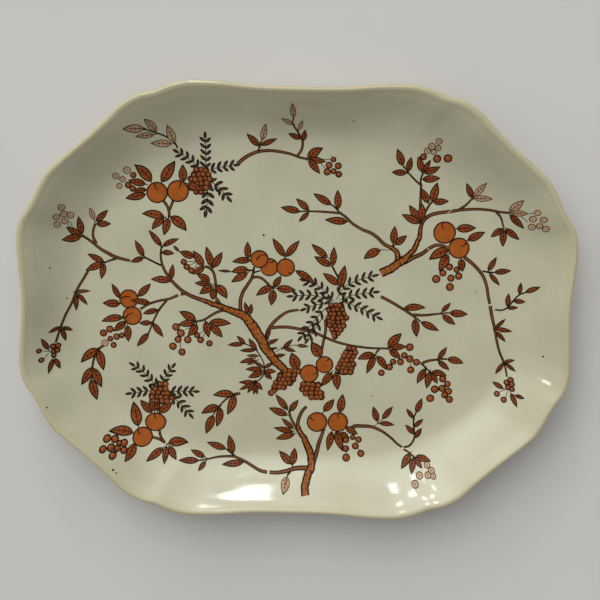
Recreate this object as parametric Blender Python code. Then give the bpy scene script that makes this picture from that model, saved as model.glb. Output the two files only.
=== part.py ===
"""China serving platter: one fired clay body, its glaze coats and the printed transfers on its face.

Metres, +Z up. The platter lies on its foot ring with its face up and its long side along X.
The origin is at the middle of the foot ring, on the surface that the platter stands on.
"""

import bmesh
import bpy
import numpy as np

MM = 0.001
PART = "china_serving_platter"

# Rim outline: one quadrant in mm, from the middle of the long side round to the middle of the short
# side. The long side dips a little, and each corner has two shallow cusps with a straight run between.
RIM = [
    (0.0, 139.5), (30.0, 140.0), (56.0, 142.0), (74.0, 141.4), (84.0, 138.4), (91.0, 135.4),
    (101.0, 132.9), (110.0, 127.9), (122.0, 116.3), (136.0, 103.3), (150.0, 91.3), (159.0, 82.4),
    (164.0, 73.6), (167.0, 67.2), (170.5, 61.0), (175.8, 52.6), (178.0, 42.0), (177.4, 26.0),
    (175.8, 0.0),
]

# The flat well is a rounded oblong: a superellipse of these half axes.
WELL_HALF_LENGTH = 135.0
WELL_HALF_WIDTH = 99.0
WELL_SQUARENESS = 2.5

# Levels above the surface that it stands on, in mm.
FLOOR_TOP = 8.2
FLOOR_UNDER = 3.5
FOOT_RECESS = 3.0
EDGE_TOP = 30.2
EDGE_SPLIT = 29.9
EDGE_BOTTOM = 29.0
LIP_UNDER = 27.4

# The face and the back of the wall: (share of the way from the well to the rim, level in mm).
FACE_WALL = [
    (0.0, 8.2), (0.2, 9.2), (0.36, 12.1), (0.52, 16.6), (0.68, 22.5),
    (0.82, 28.2), (0.92, 31.7), (0.97, 32.2),
]
BACK_WALL = [
    (0.0, 3.5), (0.2, 4.3), (0.36, 6.7), (0.52, 10.3), (0.68, 16.1), (0.82, 21.9), (0.92, 25.9),
]
LIP_ROLL = 1.6
PRINT_LIMIT = 0.92

# The foot ring follows the well outline at these shares of its size.
FOOT_OUTER = 0.84
FOOT_INNER = 0.79
FOOT_TAPER = 0.005
GLAZE_TO_FOOT = 0.012

# Thicknesses in mm. Pieces that touch keep CLEARANCE between them.
GLAZE = 0.4
CLEARANCE = 0.35
PRINT = 0.3

CLAY_COLOUR = (0.72, 0.67, 0.55, 1.0)
GLAZE_COLOUR = (0.47, 0.45, 0.35, 1.0)
PRINT_COLOUR = (0.25, 0.06, 0.015, 1.0)

# Cut outlines of the transfer sheets in mm, as seen from above.
TRANSFERS = {
    "transfer_upper_left": [
        (-122, 78), (-116, 90), (-103, 91), (-114, 112), (-98, 121), (-80, 115), (-70, 101),
        (-60, 113), (-54, 98), (-44, 92), (-44, 84), (-42, 64), (-58, 50), (-70, 62), (-70, 46),
        (-85, 43), (-103, 53), (-98, 62), (-114, 64),
    ],
    "transfer_top_branch": [
        (-41, 86), (-41, 90), (-30, 99), (-38, 110), (-23, 119), (-13, 109), (-15, 121),
        (-5, 131), (5, 121), (8, 102), (17, 103), (30, 93), (30, 82), (12, 82), (-2, 91),
        (-24, 94),
    ],
    "transfer_left_twig": [
        (-160, 52), (-152, 64), (-142, 60), (-122, 61), (-117, 48), (-128, 42), (-124, 32),
        (-111, 28), (-111, 21), (-119, 13), (-128, 13), (-134, 4), (-135, -10), (-144, -14),
        (-146, -32), (-152, -46), (-162, -52), (-171, -38), (-168, -20), (-156, -16),
        (-142, 14), (-141, 31), (-154, 35),
    ],
    "transfer_centre_left": [
        (-108, 21), (-108, 38), (-102, 38), (-98, 47), (-90, 41), (-77, 42), (-74, 36),
        (-60, 37), (-48, 33), (-49, 25), (-54, 19), (-48, 4), (-45, -1), (-45, -12), (-43, -20),
        (-52, -34), (-74, -40), (-85, -33), (-82, -15), (-62, -10), (-72, -2), (-79, 5),
        (-96, 9), (-91, 20),
    ],
    "transfer_left_fruit": [
        (-132, -4), (-121, 10), (-112, 8), (-101, 11), (-98, 4), (-81, 3), (-81, 0), (-90, -9),
        (-88, -28), (-104, -36), (-120, -37), (-129, -46), (-127, -62), (-132, -72),
        (-144, -58), (-141, -38), (-131, -30), (-133, -12),
    ],
    "transfer_centre_tree": [
        (-42, -4), (-42, 8), (-50, 17), (-49, 21), (-36, 27), (-36, 41), (-24, 38), (-15, 43),
        (1, 42), (2, 29), (14, 18), (12, 9), (-10, 6), (-20, -2), (-22, -12), (-8, -4), (1, -5),
        (0, -10), (-10, -16), (0, -17), (0, -21), (-11, -21), (-13, -26), (-19, -33),
        (-27, -30), (-42, -12),
    ],
    "transfer_fern_grapes": [
        (8, 40), (23, 40), (33, 27), (51, 20), (55, 8), (56, -11), (43, -9), (33, -17),
        (27, -21), (19, -20), (13, -17), (11, -23), (7, -28), (2, -27), (2, -16), (7, -13),
        (4, 0), (16, 9), (18, 22),
    ],
    "transfer_twig_leaves": [
        (-46, -31), (-36, -25), (-30, -29), (-25, -35), (-17, -41), (-14, -49), (-22, -57),
        (-27, -66), (-40, -66), (-58, -94), (-64, -80), (-50, -64), (-36, -56), (-38, -46),
    ],
    "transfer_centre_fruit": [
        (-11, -27), (-4, -29), (3, -34), (9, -31), (20, -30), (34, -33), (39, -37), (39, -52),
        (26, -60), (18, -68), (6, -66), (-4, -57), (-14, -63), (-18, -58), (-9, -49), (-14, -38),
    ],
    "transfer_berry_twig": [
        (14, -20), (20, -22), (40, -27), (58, -29), (69, -19), (79, -30), (81, -38), (100, -28),
        (112, -39), (98, -44), (106, -66), (90, -67), (79, -53), (60, -51), (44, -48),
        (44, -33), (30, -30), (14, -25),
    ],
    "transfer_right_twig": [
        (58, 2), (60, 7), (76, 2), (84, 0), (99, 3), (113, -5), (105, -15), (94, -14),
        (93, -20), (80, -24), (74, -9),
    ],
    "transfer_right_branch": [
        (-12, 60), (8, 71), (24, 75), (34, 59), (50, 45), (62, 53), (70, 46), (76, 54), (66, 60),
        (74, 70), (76, 80), (59, 87), (62, 102), (74, 95), (88, 110), (98, 95), (91, 80),
        (97, 66), (112, 82), (128, 72), (143, 72), (160, 58), (158, 50), (136, 38), (123, 45),
        (118, 37), (120, 31), (131, 34), (141, 24), (141, 20), (131, 11), (129, 1), (122, 1),
        (116, 24), (100, 8), (87, 12), (94, 30), (80, 34), (61, 16), (55, 17), (55, 22),
        (62, 31), (44, 27), (42, 32), (54, 38), (34, 50), (16, 50), (8, 52), (-2, 53),
    ],
    "transfer_hanging_twig": [
        (123, -3), (131, -2), (137, 3), (146, 15), (158, 15), (141, -6), (141, -25), (137, -34),
        (148, -38), (146, -50), (152, -60), (144, -68), (130, -60), (130, -52), (138, -48),
        (132, -42), (134, -36),
    ],
    "transfer_lower_left": [
        (-114, -66), (-104, -60), (-113, -44), (-104, -44), (-90, -56), (-80, -43), (-76, -46),
        (-80, -58), (-64, -62), (-66, -68), (-78, -72), (-68, -86), (-84, -77), (-82, -92),
        (-70, -95), (-70, -98), (-81, -105), (-84, -112), (-100, -112), (-98, -102),
        (-112, -108), (-129, -98), (-126, -86), (-112, -88), (-112, -72),
    ],
    "transfer_lower_branch": [
        (-77, -108), (-60, -97), (-44, -91), (-38, -103), (-18, -112), (-18, -118), (-34, -117),
        (-52, -114), (-64, -119), (-78, -113),
    ],
    "transfer_lower_tree": [
        (-15, -113), (-12, -103), (-1, -100), (5, -108), (2, -94), (-15, -92), (-19, -72),
        (-12, -65), (0, -72), (8, -72), (21, -73), (31, -64), (38, -78), (52, -80), (52, -69),
        (68, -70), (68, -84), (58, -88), (73, -96), (71, -99), (50, -88), (50, -104),
        (34, -110), (24, -100), (16, -110), (12, -128), (5, -128), (4, -120), (-6, -128),
        (-10, -119), (-15, -118),
    ],
    "transfer_lower_right": [
        (76, -98), (75, -72), (85, -64), (88, -90), (82, -97), (96, -106), (98, -116), (84, -124),
        (72, -112),
    ],
}


def clear_scene():
    for obj in list(bpy.data.objects):
        bpy.data.objects.remove(obj, do_unlink=True)


def collection(name):
    made = bpy.data.collections.new(name)
    bpy.context.scene.collection.children.link(made)
    return made


def material(name, colour, roughness):
    made = bpy.data.materials.new(name)
    made.use_nodes = True
    made.diffuse_color = colour
    shader = made.node_tree.nodes["Principled BSDF"]
    shader.inputs["Base Color"].default_value = colour
    shader.inputs["Roughness"].default_value = roughness
    shader.inputs["Metallic"].default_value = 0.0
    return made


def full_rim():
    """The rim outline in mm, anticlockwise from +X, mirrored from its quadrant."""
    first = np.array(RIM[::-1])
    second = np.array(RIM[1:]) * (-1, 1)
    upper = np.vstack([first, second])
    return np.vstack([upper, -upper[1:-1]])


RIM_POINTS = full_rim()
RIM_RADIUS = np.hypot(RIM_POINTS[:, 0], RIM_POINTS[:, 1])
DIRECTION = RIM_POINTS / RIM_RADIUS[:, None]
WELL_RADIUS = (
    np.abs(DIRECTION[:, 0] / WELL_HALF_LENGTH) ** WELL_SQUARENESS
    + np.abs(DIRECTION[:, 1] / WELL_HALF_WIDTH) ** WELL_SQUARENESS
) ** (-1 / WELL_SQUARENESS)


def ring(radius, level):
    """A closed ring of points in metres, at these radii and at one level in mm."""
    flat = DIRECTION * radius[:, None]
    return np.column_stack([flat, np.full(len(flat), level)]) * MM


def wall_ring(share, level, inset=0.0):
    """A ring part of the way from the well's outline, at 0, to the rim, at 1."""
    return ring(WELL_RADIUS + share * (RIM_RADIUS - WELL_RADIUS) - inset, level)


def well_ring(share, level):
    """A ring that follows the well's outline at a share of its size."""
    return ring(WELL_RADIUS * share, level)


def face_rings(depth):
    """The face from the well to the crown of the lip, this far below the glazed surface."""
    return [wall_ring(share, level - depth) for share, level in FACE_WALL]


def back_rings(depth):
    """The back from under the lip to the well's outline, this far inside the glazed surface."""
    lip = wall_ring(1.0, LIP_UNDER + depth, LIP_ROLL)
    return [lip] + [wall_ring(share, level + depth) for share, level in BACK_WALL[::-1]]


def loft(name, rings, loop=False):
    """A solid through the rings, capped at both ends or, with loop, closed on itself."""
    mesh = bmesh.new()
    rows = [[mesh.verts.new(point) for point in points] for points in rings]
    count = len(rows[0])
    pairs = list(zip(rows, rows[1:]))
    if loop:
        pairs.append((rows[-1], rows[0]))
    else:
        mesh.faces.new(rows[0])
        mesh.faces.new(rows[-1][::-1])
    for upper, lower in pairs:
        for i in range(count):
            j = (i + 1) % count
            mesh.faces.new([upper[j], upper[i], lower[i], lower[j]])
    bmesh.ops.recalc_face_normals(mesh, faces=mesh.faces)
    data = bpy.data.meshes.new(name)
    mesh.to_mesh(data)
    mesh.free()
    data.shade_smooth()
    data.set_sharp_from_angle(angle=np.radians(35.0))
    return bpy.data.objects.new(name, data)


def add(obj, group, made_of=None):
    group.objects.link(obj)
    if made_of:
        obj.data.materials.append(made_of)
    return obj


def biscuit_body():
    """The fired clay: floor, wall, rolled lip and the foot ring, which is left bare."""
    depth = GLAZE + CLEARANCE
    foot = FLOOR_UNDER + depth
    recess = FOOT_RECESS + depth
    lip = [wall_ring(1.0, EDGE_TOP - 0.1, depth), wall_ring(1.0, EDGE_BOTTOM, depth)]
    ring_foot = [
        well_ring(FOOT_OUTER + FOOT_TAPER, foot),
        well_ring(FOOT_OUTER, 0.0),
        well_ring(FOOT_INNER, 0.0),
        well_ring(FOOT_INNER - FOOT_TAPER, recess),
    ]
    return loft("biscuit_body", face_rings(depth) + lip + back_rings(depth) + ring_foot)


def face_glaze():
    """The glaze over the well, the wall and the top of the lip."""
    edge = [
        wall_ring(1.0, EDGE_TOP),
        wall_ring(1.0, EDGE_SPLIT),
        wall_ring(1.0, EDGE_SPLIT, GLAZE),
        wall_ring(1.0, EDGE_TOP - 0.1, GLAZE),
    ]
    return loft("face_glaze", face_rings(0.0) + edge + face_rings(GLAZE)[::-1])


def back_glaze():
    """The glaze under the lip and down the back, stopping short of the foot ring."""
    top = EDGE_SPLIT - CLEARANCE
    end = FOOT_OUTER + FOOT_TAPER + GLAZE_TO_FOOT
    outside = [wall_ring(1.0, top), wall_ring(1.0, EDGE_BOTTOM)] + back_rings(0.0)
    inside = [wall_ring(1.0, top, GLAZE), wall_ring(1.0, EDGE_BOTTOM, GLAZE)] + back_rings(GLAZE)
    turn = [well_ring(end, FLOOR_UNDER), well_ring(end, FLOOR_UNDER + GLAZE)]
    return loft("back_glaze", outside + turn + inside[::-1], loop=True)


def foot_well_glaze():
    """The glaze on the recess inside the foot ring."""
    share = FOOT_INNER - FOOT_TAPER - GLAZE_TO_FOOT
    return loft(
        "foot_well_glaze",
        [well_ring(share, FOOT_RECESS + GLAZE), well_ring(share, FOOT_RECESS)],
    )


def print_layer():
    """The thin layer just over the face glaze that the transfers lie in."""
    under = [
        wall_ring(share, level + CLEARANCE) for share, level in FACE_WALL if share <= PRINT_LIMIT
    ]
    over = [points + (0.0, 0.0, PRINT * MM) for points in under]
    return loft("print_layer", over + under[::-1])


def outline_prism(name, outline, height):
    """The outline as a mesh that runs from the floor to above the rim."""
    curve = bpy.data.curves.new(name, "CURVE")
    curve.dimensions = "2D"
    curve.fill_mode = "BOTH"
    curve.extrude = height / 2
    spline = curve.splines.new("POLY")
    spline.points.add(len(outline) - 1)
    for point, (x, y) in zip(spline.points, outline):
        point.co = (x * MM, y * MM, 0.0, 1.0)
    spline.use_cyclic_u = True
    guide = bpy.data.objects.new(name + "_outline", curve)
    bpy.context.scene.collection.objects.link(guide)
    bpy.context.view_layer.update()
    data = bpy.data.meshes.new_from_object(guide.evaluated_get(bpy.context.evaluated_depsgraph_get()))
    bpy.data.objects.remove(guide, do_unlink=True)
    data.name = name
    mesh = bmesh.new()
    mesh.from_mesh(data)
    bmesh.ops.remove_doubles(mesh, verts=mesh.verts, dist=1e-6)
    bmesh.ops.translate(mesh, verts=mesh.verts, vec=(0.0, 0.0, height / 2))
    bmesh.ops.recalc_face_normals(mesh, faces=mesh.faces)
    mesh.to_mesh(data)
    mesh.free()
    return bpy.data.objects.new(name, data)


def transfer(name, outline, layer):
    """One transfer: the part of the print layer inside its cut outline."""
    obj = outline_prism(name, outline, 0.04)
    cut = obj.modifiers.new("layer", "BOOLEAN")
    cut.operation = "INTERSECT"
    cut.solver = "EXACT"
    cut.object = layer
    return obj


def main():
    clear_scene()
    parts = collection(PART)
    guides = collection("guides")
    clay = material("fired_clay", CLAY_COLOUR, 0.8)
    glaze = material("cream_glaze", GLAZE_COLOUR, 0.12)
    print_ink = material("rust_print", PRINT_COLOUR, 0.35)
    add(biscuit_body(), parts, clay)
    for skin in (face_glaze(), back_glaze(), foot_well_glaze()):
        add(skin, parts, glaze)
    layer = add(print_layer(), guides)
    layer.hide_render = True
    layer.display_type = "WIRE"
    for name, outline in TRANSFERS.items():
        add(transfer(name, outline, layer), parts, print_ink)


main()
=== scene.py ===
"""Looks for the china serving platter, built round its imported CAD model.

The frame is in metres, +Z up. Lists of places below are in millimetres, as seen from above.
"""

import bmesh
import bpy
import numpy as np
from mathutils import Matrix, Vector
from mathutils.geometry import delaunay_2d_cdt


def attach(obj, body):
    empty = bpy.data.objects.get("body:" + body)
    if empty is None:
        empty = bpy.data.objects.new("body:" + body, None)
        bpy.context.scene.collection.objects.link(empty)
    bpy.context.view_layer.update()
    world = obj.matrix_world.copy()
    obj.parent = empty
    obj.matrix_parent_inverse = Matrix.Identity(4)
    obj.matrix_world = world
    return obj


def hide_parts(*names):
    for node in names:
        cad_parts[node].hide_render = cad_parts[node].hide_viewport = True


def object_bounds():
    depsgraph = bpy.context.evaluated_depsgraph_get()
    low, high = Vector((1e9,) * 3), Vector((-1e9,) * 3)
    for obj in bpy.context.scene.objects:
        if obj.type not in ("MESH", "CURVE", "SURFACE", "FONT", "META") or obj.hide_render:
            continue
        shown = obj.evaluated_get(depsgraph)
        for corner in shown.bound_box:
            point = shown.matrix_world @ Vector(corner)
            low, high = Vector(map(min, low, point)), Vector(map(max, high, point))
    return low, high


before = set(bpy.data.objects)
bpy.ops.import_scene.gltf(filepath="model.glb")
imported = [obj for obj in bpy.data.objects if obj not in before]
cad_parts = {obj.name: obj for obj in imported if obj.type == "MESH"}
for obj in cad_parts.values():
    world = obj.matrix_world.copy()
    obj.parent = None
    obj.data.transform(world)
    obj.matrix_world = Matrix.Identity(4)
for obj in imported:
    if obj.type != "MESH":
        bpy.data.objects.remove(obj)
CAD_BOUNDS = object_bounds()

MM = 0.001

# ---------------------------------------------------------------------------------------------
# The platter's shape, from the same driving sizes as the CAD.

# Rim outline: one quadrant, from the middle of the long side round to the middle of the short side.
RIM = [
    (0.0, 139.5), (30.0, 140.0), (56.0, 142.0), (74.0, 141.4), (84.0, 138.4), (91.0, 135.4),
    (101.0, 132.9), (110.0, 127.9), (122.0, 116.3), (136.0, 103.3), (150.0, 91.3), (159.0, 82.4),
    (164.0, 73.6), (167.0, 67.2), (170.5, 61.0), (175.8, 52.6), (178.0, 42.0), (177.4, 26.0),
    (175.8, 0.0),
]
WELL_HALF_LENGTH = 135.0
WELL_HALF_WIDTH = 99.0
WELL_SQUARENESS = 2.5

# Levels of the face: (share of the way from the well to the rim, level).
FACE_WALL = [
    (-0.3, 8.2), (-0.1, 8.2), (0.05, 8.35), (0.2, 9.2), (0.36, 12.1), (0.52, 16.6), (0.68, 22.5),
    (0.82, 28.2), (0.92, 31.7),
]
# Inside this share the well is flat.
FLAT_END = FACE_WALL[0][0]
# The rolled lip and the back: (share, inset from there, level).
LIP_OVER = [(0.965, 0.0, 32.2), (0.99, 0.0, 31.5), (1.0, 0.1, 30.4), (1.0, 0.0, 29.6)]
LIP_UNDER = [(1.0, 0.2, 28.8), (1.0, 0.7, 28.1), (1.0, 1.6, 27.4), (0.95, 1.0, 26.7)]
BACK_WALL = [
    (0.92, 25.9), (0.82, 21.9), (0.68, 16.1), (0.52, 10.3), (0.36, 6.7), (0.2, 4.3), (0.05, 3.6),
    (-0.1, 3.5), (-0.2, 3.5),
]
# The foot ring's two edges and its fillet, as shares of the well's size.
FOOT_OUTER = 0.84
FOOT_INNER = 0.79
FOOT_FILLET = 0.014
# Levels of the floor's underside outside and inside the foot ring.
FLOOR_UNDER = 3.5
FOOT_RECESS = 3.0
# Thickness of the glaze, and the hidden gap between it and the clay.
GLAZE = 0.4
CLAY_GAP = 0.06
CLAY_DEPTH = GLAZE + CLAY_GAP

# Where one layer ends inside another: the last share on the wall, then round the lip.
LAYER_END = 0.88
ROLL_START = 0.9
GLAZE_ROLL = [(ROLL_START, 0.0, 31.05), (0.92, 0.0, 31.7)] + LIP_OVER + LIP_UNDER[:1]
GLAZE_LIP_INSIDE = [
    (LAYER_END, 0.0, 29.9), (0.95, 0.3, 31.4), (1.0, GLAZE + 0.3, 30.4), (1.0, GLAZE, 28.9),
]
BACK_LIP_INSIDE = [(1.0, 0.9, 28.7), (0.93, 1.6, 27.0)]
# The back's glaze starts this many rings below the face's, set in by this much.
BACK_JOINT_RINGS = 2
BACK_INSET = 0.05
CLAY_LIP = [
    (LAYER_END, 0.0, 29.8), (0.95, 0.5, 31.2), (1.0, 0.9, 30.2), (1.0, 1.0, 28.8), (0.93, 2.0, 27.2),
]
# The foot ring's sides, going down and then up again: (step from its edge, level).
FOOT_OUTSIDE = [
    (FOOT_FILLET + 0.012, FLOOR_UNDER + CLAY_DEPTH), (FOOT_FILLET, FLOOR_UNDER + 0.05),
    (0.006, 2.8), (0.003, 1.6), (0.0, 0.7), (-0.003, 0.2), (-0.009, 0.0),
]
FOOT_INSIDE = [
    (0.009, 0.0), (0.003, 0.2), (0.0, 0.7), (-0.003, 1.5), (-0.006, 2.3),
    (-FOOT_FILLET, FOOT_RECESS + 0.05), (-FOOT_FILLET - 0.012, FOOT_RECESS + CLAY_DEPTH),
]

# Points in a ring.
AROUND = 600
# Shallow waves in the face: (direction, length, phase, height), fading out before the lip.
WAVES = [(0.9, 71.0, 0.4, 0.10), (0.2, 97.0, 2.1, 0.12), (2.2, 83.0, 4.0, 0.09)]
WAVE_END = 0.9
WAVE_FADE = 0.5


def hermite(knots, values, at):
    """A smooth curve through the values at the knots, read at these places."""
    knots = np.asarray(knots, float)
    values = np.asarray(values, float)
    slopes = np.gradient(values, knots)
    left = np.clip(np.searchsorted(knots, at, side="right") - 1, 0, len(knots) - 2)
    width = knots[left + 1] - knots[left]
    t = (at - knots[left]) / width
    return (
        values[left] * (2 * t**3 - 3 * t**2 + 1)
        + width * slopes[left] * (t**3 - 2 * t**2 + t)
        + values[left + 1] * (3 * t**2 - 2 * t**3)
        + width * slopes[left + 1] * (t**3 - t**2)
    )


# One point past each axis is mirrored, so that the outline runs smoothly over it.
RIM_SPAN = [(RIM[-2][0], -RIM[-2][1])] + RIM[::-1] + [(-RIM[1][0], RIM[1][1])]
RIM_ANGLE = np.arctan2([y for _, y in RIM_SPAN], [x for x, _ in RIM_SPAN])
RIM_REACH = np.hypot([x for x, _ in RIM_SPAN], [y for _, y in RIM_SPAN])


def rim_radius(angle):
    """Distance from the middle to the rim, for the outline mirrored from its quadrant."""
    folded = np.abs(np.mod(angle + np.pi, 2 * np.pi) - np.pi)
    folded = np.where(folded > np.pi / 2, np.pi - folded, folded)
    return hermite(RIM_ANGLE, RIM_REACH, folded)


def well_radius(angle):
    """Distance from the middle to the well's outline, a rounded rectangle."""
    power = WELL_SQUARENESS
    across = np.abs(np.cos(angle) / WELL_HALF_LENGTH) ** power
    along = np.abs(np.sin(angle) / WELL_HALF_WIDTH) ** power
    return (across + along) ** (-1 / power)


def unevenness(x, y):
    """The slight waviness of a pressed and fired piece."""
    total = 0.0
    for turn, length, phase, height in WAVES:
        along = x * np.cos(turn) + y * np.sin(turn)
        total = total + height * np.sin(along * 2 * np.pi / length + phase)
    return total


def wall_share(x, y):
    """Share of the way from the well's outline, at 0, to the rim, at 1."""
    angle = np.arctan2(y, x)
    well = well_radius(angle)
    return (np.hypot(x, y) - well) / (rim_radius(angle) - well)


def face_level(x, y):
    """Level of the glazed face over this place."""
    share = np.clip(wall_share(x, y), FLAT_END, FACE_WALL[-1][0])
    level = hermite([s for s, _ in FACE_WALL], [z for _, z in FACE_WALL], share)
    fade = np.clip((WAVE_END - share) / WAVE_FADE, 0.0, 1.0)
    return level + unevenness(x, y) * fade


# ---------------------------------------------------------------------------------------------
# Lofted pieces.

SMOOTH_ANGLE = 40.0
# Scales of the rings over the well.
WELL_SCALES = [0.04, 0.12, 0.22, 0.32, 0.42, 0.52, 0.62, 0.72, 0.8, 0.86]
CLAY_SCALES = [0.05, 0.3, 0.6, 0.85]
RECESS_SCALES = [0.05, 0.2, 0.4, 0.6, 0.7]

ANGLES = np.linspace(0.0, 2 * np.pi, AROUND, endpoint=False)
DIRECTION = np.column_stack([np.cos(ANGLES), np.sin(ANGLES)])
WELL = well_radius(ANGLES)
RIM_WIDTH = rim_radius(ANGLES) - WELL


def wall_ring(share, inset, level):
    """(points, share) of a ring on the wall, in millimetres."""
    flat = DIRECTION * (WELL + share * RIM_WIDTH - inset)[:, None]
    return np.column_stack([flat, np.broadcast_to(level, len(flat))]), share


def well_ring(scale, level):
    """(points, share) of a ring that follows the well's outline at a share of its size."""
    flat = DIRECTION * (WELL * scale)[:, None]
    return np.column_stack([flat, np.broadcast_to(level, len(flat))]), FLAT_END


def curve_rings(section, count):
    """Rings along a smooth curve through the (share, inset, level) points of a section."""
    points = np.array(section, float)
    width = float(RIM_WIDTH.mean())
    steps = np.hypot(np.diff(points[:, 0] * width - points[:, 1]), np.diff(points[:, 2]))
    along = np.concatenate([[0.0], np.cumsum(steps)])
    places = np.linspace(0.0, along[-1], count)
    columns = [hermite(along, points[:, i], places) for i in range(3)]
    return [wall_ring(*values) for values in zip(*columns)]


def over_face(scales, shares, depth):
    """Rings on the face: over the well at these scales, then over the wall at these shares."""
    rings = [well_ring(scale, 0.0) for scale in scales]
    rings += [wall_ring(share, 0.0, 0.0) for share in shares]
    for points, _ in rings:
        points[:, 2] = face_level(points[:, 0], points[:, 1]) - depth
    return rings


def add_object(name, data):
    """A new object in the scene."""
    item = bpy.data.objects.new(name, data)
    bpy.context.scene.collection.objects.link(item)
    return item


def loft(name, rings, closed=False):
    """A closed solid through the rings, with caps, or joined end to end where closed."""
    points = np.concatenate([ring for ring, _ in rings]) * MM
    shares = np.concatenate([np.full(AROUND, share) for _, share in rings])
    rows = np.arange(len(points)).reshape(len(rings), AROUND)
    upper, lower = (rows, np.roll(rows, -1, axis=0)) if closed else (rows[:-1], rows[1:])
    quads = np.stack(
        [np.roll(upper, -1, axis=1), upper, lower, np.roll(lower, -1, axis=1)], axis=-1
    ).reshape(-1, 4)
    faces = quads.tolist()
    if not closed:
        faces += [rows[0].tolist(), rows[-1][::-1].tolist()]
    mesh = bpy.data.meshes.new(name)
    mesh.from_pydata(points.tolist(), [], faces)
    mesh.attributes.new("wall_share", "FLOAT", "POINT").data.foreach_set("value", shares)
    solid = bmesh.new()
    solid.from_mesh(mesh)
    bmesh.ops.recalc_face_normals(solid, faces=solid.faces)
    solid.to_mesh(mesh)
    solid.free()
    mesh.shade_smooth()
    mesh.set_sharp_from_angle(angle=np.radians(SMOOTH_ANGLE))
    return add_object(name, mesh)


def finish_piece(piece, nodes, materials):
    """Gives the piece its materials, hangs it on the root body and hides any CAD nodes it stands for.
    """
    for material in materials:
        piece.data.materials.append(material)
    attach(piece, "root")
    if nodes:
        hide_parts(*nodes)


def shift_rings(rings, inset):
    """The same rings, moved inwards."""
    moved = []
    for points, share in rings:
        reach = np.hypot(points[:, 0], points[:, 1])
        flat = points[:, :2] * ((reach - inset) / reach)[:, None]
        moved.append((np.column_stack([flat, points[:, 2]]), share))
    return moved


def glazed_face(glaze):
    """The glaze over the well, up the wall and round the top of the lip."""
    outside = over_face(WELL_SCALES, np.linspace(FLAT_END, ROLL_START, 46), 0.0)
    outside += curve_rings(GLAZE_ROLL, 22)[1:]
    inside = over_face(WELL_SCALES[::3], np.linspace(FLAT_END, LAYER_END, 12), GLAZE)
    inside += curve_rings(GLAZE_LIP_INSIDE, 8)
    solid = loft("glazed_face", outside + inside[::-1])
    finish_piece(solid, ["face_glaze"], [glaze])


def glazed_back(glaze):
    """The glaze under the lip and down the back, ending at the foot ring."""
    end = FOOT_OUTER + FOOT_FILLET
    section = LIP_OVER[-1:] + LIP_UNDER + [(share, 0.0, level) for share, level in BACK_WALL]
    outside = shift_rings(curve_rings(section, 56), BACK_INSET)[BACK_JOINT_RINGS:]
    outside += [well_ring(0.93, FLOOR_UNDER), well_ring(end + 0.01, FLOOR_UNDER)]
    outside += [well_ring(end, FLOOR_UNDER + GLAZE / 2)]
    wall = [(share, 0.0, level + GLAZE) for share, level in BACK_WALL[1:]]
    inside = curve_rings(BACK_LIP_INSIDE + wall, 14) + [well_ring(end, FLOOR_UNDER + GLAZE)]
    solid = loft("glazed_back", outside + inside[::-1], closed=True)
    finish_piece(solid, ["back_glaze"], [glaze])


def glazed_recess(glaze):
    """The glaze on the underside inside the foot ring."""
    edge = FOOT_INNER - FOOT_FILLET
    under = [well_ring(scale, FOOT_RECESS) for scale in RECESS_SCALES + [edge - 0.006]]
    over = [well_ring(edge, FOOT_RECESS + GLAZE / 2), well_ring(edge, FOOT_RECESS + GLAZE)]
    solid = loft("glazed_recess", under + over)
    finish_piece(solid, ["foot_well_glaze"], [glaze])


def clay_body(clay):
    """The fired clay under the glaze, bare only on the foot ring."""
    rings = over_face(CLAY_SCALES, np.linspace(FLAT_END, LAYER_END, 12), CLAY_DEPTH)
    rings += curve_rings(CLAY_LIP, 10)
    rings += curve_rings([(share, 0.0, level + CLAY_DEPTH) for share, level in BACK_WALL[1:]], 12)
    rings += [well_ring(FOOT_OUTER + step, level) for step, level in FOOT_OUTSIDE]
    rings += [well_ring(FOOT_INNER + step, level) for step, level in FOOT_INSIDE]
    rings += [well_ring(0.3, FOOT_RECESS + CLAY_DEPTH)]
    finish_piece(loft("clay_body", rings), ["biscuit_body"], [clay])


# ---------------------------------------------------------------------------------------------
# The print: generic fruit sprays, each shape a polygon with an ink. Later shapes lie over earlier.

# The darkest and lightest colour of each ink.
INK_COLOURS = {
    "ink": ((0.012, 0.006, 0.002), (0.025, 0.012, 0.004)),
    "bark": ((0.29, 0.085, 0.017), (0.40, 0.125, 0.026)),
    "stalk": ((0.16, 0.058, 0.018), (0.23, 0.085, 0.026)),
    "leaf": ((0.21, 0.065, 0.014), (0.295, 0.095, 0.022)),
    "blush": ((0.27, 0.045, 0.012), (0.38, 0.070, 0.018)),
    "fruit": ((0.355, 0.092, 0.015), (0.445, 0.122, 0.022)),
    "fruit_shade": ((0.29, 0.068, 0.012), (0.36, 0.088, 0.016)),
    "berry": ((0.26, 0.062, 0.018), (0.37, 0.095, 0.026)),
    "highlight": ((0.40, 0.17, 0.06), (0.50, 0.23, 0.09)),
    "grape": ((0.23, 0.057, 0.016), (0.33, 0.090, 0.024)),
    "grape_light": ((0.38, 0.145, 0.048), (0.46, 0.19, 0.070)),
    "bunch_ink": ((0.030, 0.011, 0.004), (0.054, 0.018, 0.007)),
    "fern": ((0.050, 0.031, 0.018), (0.085, 0.054, 0.031)),
    "pale": ((0.50, 0.35, 0.215), (0.58, 0.42, 0.27)),
    "pale_blush": ((0.50, 0.29, 0.165), (0.57, 0.36, 0.215)),
    "pale_ink": ((0.065, 0.025, 0.008), (0.11, 0.043, 0.015)),
}
# Widths of lines.
OUTLINE = 0.82
THIN_OUTLINE = 0.56
VEIN = 0.46
PETIOLE = 0.6
TWIG = 0.42
CUT = 0.5
# Ink runs a little, so stems print wider than drawn.
INK_SPREAD = 0.3
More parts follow.
